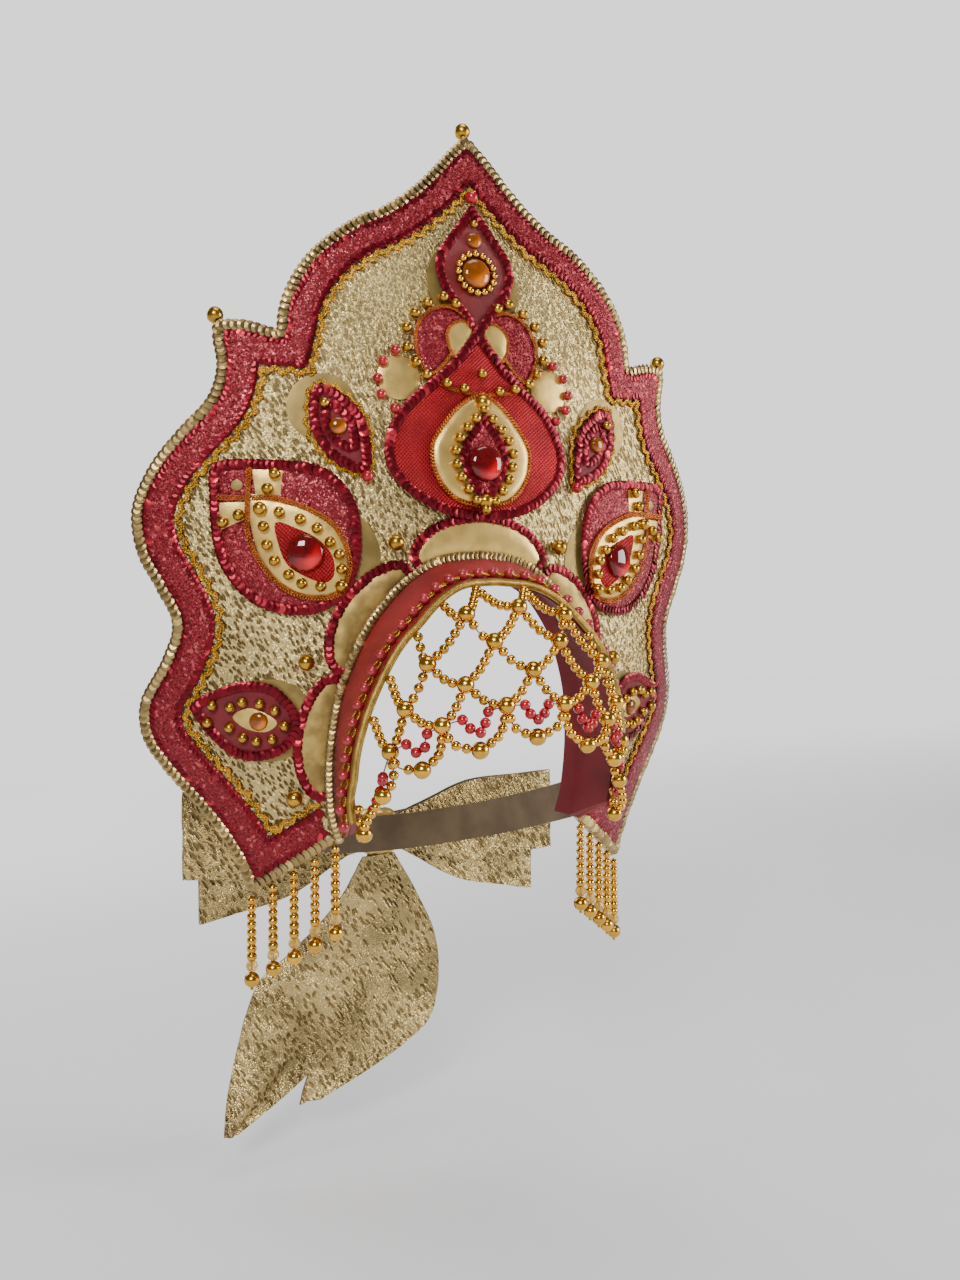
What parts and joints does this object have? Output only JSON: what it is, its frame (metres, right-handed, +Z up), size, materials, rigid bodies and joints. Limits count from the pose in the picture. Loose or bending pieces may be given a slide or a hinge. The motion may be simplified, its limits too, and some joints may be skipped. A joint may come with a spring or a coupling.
{
  "type": "kokoshnik headdress",
  "caption": "Tall bent crest board with beaded red and gold appliques, a brow band with a bead net, bead pendants under the wings, and a leatherette bow at the nape.",
  "frame": {"origin": "where the crown of the brow band's arch meets the crest board's front, over the middle of the forehead", "axes": "the wearer faces -Y, +X is the wearer's left, +Z is up"},
  "size_m": [0.3924, 0.2678, 0.666],
  "materials": {
    "gold_leatherette": "pale gold crackled foil leatherette",
    "smooth_gold_leatherette": "smooth olive gold leatherette",
    "gold_sequins": "overlapping pale gold sequins",
    "red_glitter_fabric": "red glitter fabric edged with dark red sequins",
    "red_satin": "red satin",
    "dark_red_lining": "dark red padded lining",
    "red_mesh_fabric": "red mesh over red cloth",
    "gold_braid": "metallic gold braid",
    "gold_cord": "dull gold cord",
    "gold_plastic_beads": "bright metallised gold beads",
    "ruby_stone": "deep ruby red domed stones",
    "amber_stone": "orange amber domed stones"
  },
  "bodies": {
    "root": {"crest_board": "gold_leatherette", "nape_strap": "gold_leatherette", "bow_loop_high_right": "gold_leatherette", "bow_loop_high_left": "gold_leatherette", "bow_loop_low_right": "gold_leatherette", "bow_loop_low_left": "gold_leatherette", "tail_front": "gold_leatherette", "tail_back": "gold_leatherette", "petal_top": "smooth_gold_leatherette", "petal_high_right": "smooth_gold_leatherette", "petal_high_left": "smooth_gold_leatherette", "petal_low_right": "smooth_gold_leatherette", "petal_low_left": "smooth_gold_leatherette", "teardrop": "smooth_gold_leatherette", "side_disc_right": "smooth_gold_leatherette", "side_disc_left": "smooth_gold_leatherette", "big_leaf_drop_right": "smooth_gold_leatherette", "big_leaf_drop_left": "smooth_gold_leatherette", "bow_knot": "smooth_gold_leatherette", "edge_sequins": "gold_sequins", "arch_sequins": "gold_sequins", "border_band": "red_glitter_fabric", "lobe_right": "red_glitter_fabric", "lobe_left": "red_glitter_fabric", "lozenge": "red_glitter_fabric", "small_leaf_right": "red_glitter_fabric", "small_leaf_left": "red_glitter_fabric", "big_leaf_right": "red_glitter_fabric", "big_leaf_left": "red_glitter_fabric", "low_leaf_right": "red_glitter_fabric", "low_leaf_left": "red_glitter_fabric", "brow_band": "red_satin", "top_almond": "red_satin", "brow_lining": "dark_red_lining", "onion_panel": "red_mesh_fabric", "border_braid": "gold_braid", "band_braid": "gold_braid", "band_cord": "gold_cord", "tip_bead_top": "gold_plastic_beads", "tip_bead_right": "gold_plastic_beads", "tip_bead_left": "gold_plastic_beads", "bead_net": "gold_plastic_beads", "pendant_right_1": "gold_plastic_beads", "pendant_right_2": "gold_plastic_beads", "pendant_right_3": "gold_plastic_beads", "pendant_right_4": "gold_plastic_beads", "pendant_right_5": "gold_plastic_beads", "pendant_left_1": "gold_plastic_beads", "pendant_left_2": "gold_plastic_beads", "pendant_left_3": "gold_plastic_beads", "pendant_left_4": "gold_plastic_beads", "pendant_left_5": "gold_plastic_beads", "ruby_centre": "ruby_stone", "big_leaf_ruby_right": "ruby_stone", "big_leaf_ruby_left": "ruby_stone", "amber_centre": "amber_stone", "small_leaf_stone_right": "amber_stone", "small_leaf_stone_left": "amber_stone", "low_leaf_stone_right": "amber_stone", "low_leaf_stone_left": "amber_stone"}
  },
  "joints": []
}
